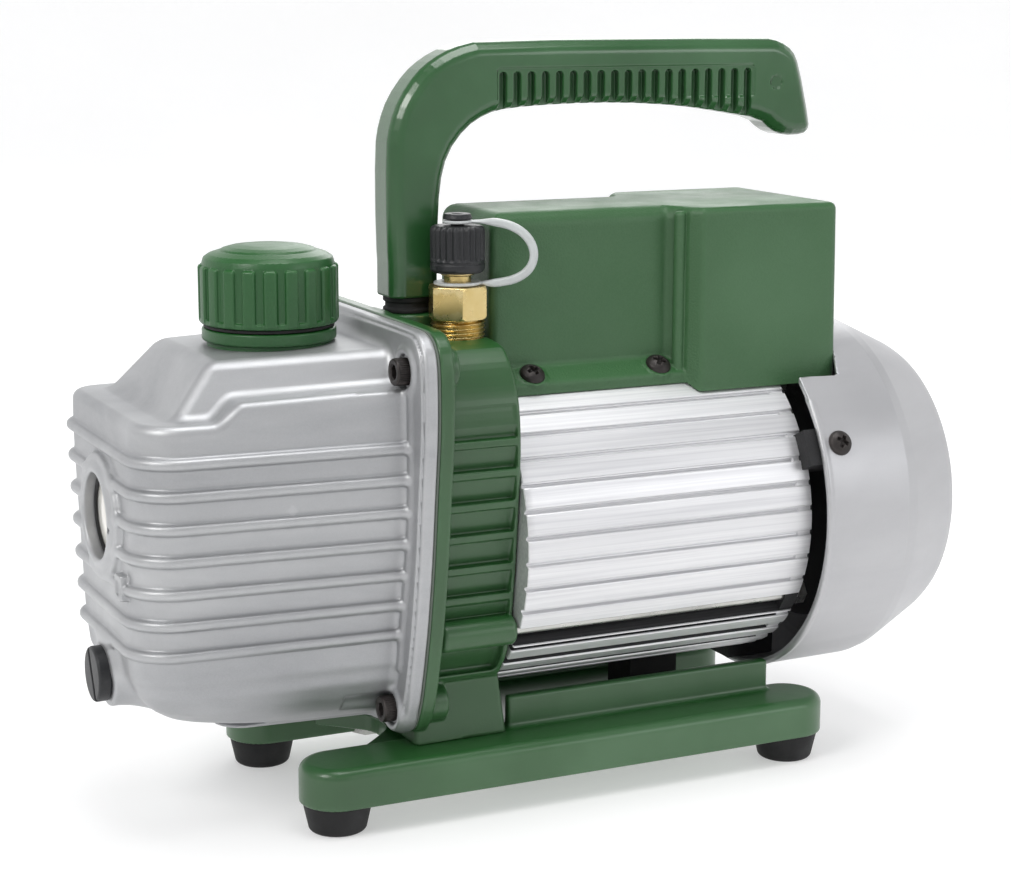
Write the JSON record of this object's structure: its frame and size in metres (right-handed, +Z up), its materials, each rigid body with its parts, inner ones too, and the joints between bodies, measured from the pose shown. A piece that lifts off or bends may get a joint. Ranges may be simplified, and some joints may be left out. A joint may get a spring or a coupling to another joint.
{
  "type": "hvac vacuum pump",
  "caption": "Portable rotary vane vacuum pump: ribbed silver oil casing, green bracket, finned motor with fan cover, switch box, carrying handle, capped intake port and footed base.",
  "frame": {"origin": "bottom centre of the whole pump, on the floor under the feet", "axes": "+X along the motor axis from the oil casing to the fan cover, +Y away from the intake port's side, +Z up"},
  "size_m": [0.2888, 0.1216, 0.2412],
  "materials": {
    "green_cast": "satin",
    "silver_cast": "satin",
    "green_plastic": "fine texture",
    "cap_plastic": "satin",
    "foot_rubber": "matte",
    "seal_rubber": "matte",
    "black_screw": "black oxide",
    "zinc_steel": "zinc",
    "ground_steel": "ground",
    "pump_iron": "machined",
    "vane_composite": "matte",
    "clear_glass": "clear",
    "black_plastic": "satin",
    "black_matte": "matte",
    "brass": "machined",
    "tether_nylon": "translucent",
    "mist_filter": "felt",
    "bare_aluminium": "extruded",
    "lamination_steel": "laminated",
    "winding_copper": "enamelled",
    "coupling_alloy": "machined",
    "capacitor_shell": "satin",
    "terminal_plastic": "matte"
  },
  "bodies": {
    "pump_frame": {"base_frame": "green_cast", "pump_bracket": "green_cast", "oil_casing": "silver_cast", "fan_cover": "silver_cast", "electrical_box": "green_plastic", "handle": "green_plastic", "filler_neck": "cap_plastic", "rubber_feet": "foot_rubber", "motor_rest_pad": "foot_rubber", "casing_gasket": "seal_rubber", "sight_glass_seal": "seal_rubber", "shaft_seal": "seal_rubber", "casing_screws": "black_screw", "box_screws": "black_screw", "fan_cover_screws": "black_screw", "foot_screws": "zinc_steel", "bracket_bolts": "zinc_steel", "pump_screws": "zinc_steel", "motor_tie_bolts": "zinc_steel", "pad_screw": "zinc_steel", "handle_stud": "zinc_steel", "exhaust_reed": "zinc_steel", "reed_stop": "zinc_steel", "inlet_strainer": "zinc_steel", "bearing_outer_rings": "ground_steel", "pump_cylinder": "pump_iron", "pump_end_plate": "pump_iron", "pump_wear_plate": "pump_iron", "sight_glass_lens": "clear_glass", "rear_end_shield": "black_matte", "handle_collar": "black_matte", "power_inlet": "black_matte", "switch_housing": "black_matte", "intake_fitting": "brass", "cap_tether": "tether_nylon", "exhaust_filter": "mist_filter", "motor_housing": "bare_aluminium", "stator_core": "lamination_steel", "stator_windings": "winding_copper", "run_capacitor": "capacitor_shell", "terminal_block": "terminal_plastic"},
    "shaft_group": {"pump_rotor": "ground_steel", "vane_springs": "zinc_steel", "shaft_coupling": "coupling_alloy", "motor_shaft": "ground_steel", "motor_rotor": "lamination_steel", "cooling_fan": "black_matte", "bearing_inner_rings": "ground_steel"},
    "ball_sets": {"bearing_balls": "ground_steel"},
    "first_vane": {"vane_a": "vane_composite"},
    "second_vane": {"vane_b": "vane_composite"},
    "filler_seal": {"filler_cap_gasket": "seal_rubber"},
    "filler_closure": {"filler_cap": "cap_plastic"},
    "drain_seal": {"drain_o_ring": "seal_rubber"},
    "drain_closure": {"drain_plug": "black_plastic"},
    "intake_seal": {"intake_cap_seal": "seal_rubber"},
    "intake_closure": {"intake_cap": "black_plastic", "cap_knob": "black_plastic"},
    "rocker": {"switch_rocker": "black_plastic"}
  },
  "joints": [
    {"name": "shaft_spin", "type": "hinge", "parent": "pump_frame", "child": "shaft_group", "pos_m": [-0.0272, 0, 0.0855], "axis": [1, 0, 0], "continuous": true},
    {"name": "ball_orbit", "type": "hinge", "parent": "pump_frame", "child": "ball_sets", "pos_m": [-0.0272, 0, 0.0855], "axis": [1, 0, 0], "continuous": true},
    {"name": "vane_a_slide", "type": "slide", "parent": "shaft_group", "child": "first_vane", "axis": [0, -1, 0], "range_m": [0, 0.0033]},
    {"name": "vane_b_slide", "type": "slide", "parent": "shaft_group", "child": "second_vane", "axis": [0, 1, 0], "range_m": [0, 0.0033]},
    {"name": "filler_lift", "type": "slide", "parent": "pump_frame", "child": "filler_seal", "axis": [0, 0, 1], "range_m": [0, 0.015]},
    {"name": "filler_turn", "type": "hinge", "parent": "filler_seal", "child": "filler_closure", "pos_m": [-0.0844, 0, 0.16], "axis": [0, 0, 1], "range_deg": [0, 1800]},
    {"name": "drain_travel", "type": "slide", "parent": "pump_frame", "child": "drain_seal", "axis": [-1, 0, 0], "range_m": [0, 0.015]},
    {"name": "drain_turn", "type": "hinge", "parent": "drain_seal", "child": "drain_closure", "pos_m": [-0.1412, 0, 0.049], "axis": [-1, 0, 0], "range_deg": [0, 3600]},
    {"name": "intake_lift", "type": "slide", "parent": "pump_frame", "child": "intake_seal", "axis": [0, 0, 1], "range_m": [0, 0.0127], "deforming": ["cap_tether"]},
    {"name": "intake_turn", "type": "hinge", "parent": "intake_seal", "child": "intake_closure", "pos_m": [-0.0282, -0.018, 0.175], "axis": [0, 0, 1], "range_deg": [0, 3600]},
    {"name": "rocker_tilt", "type": "hinge", "parent": "pump_frame", "child": "rocker", "pos_m": [0.1018, -0.015, 0.17], "axis": [0, 0, -1], "range_deg": [0, 20]}
  ],
  "couplings": [
    {"joint": "ball_orbit", "follows": "shaft_spin", "ratio": 0.4},
    {"joint": "filler_turn", "follows": "filler_lift", "rad_per_m": 2094.4},
    {"joint": "drain_turn", "follows": "drain_travel", "rad_per_m": 4188.8},
    {"joint": "intake_turn", "follows": "intake_lift", "rad_per_m": 4947.4}
  ]
}
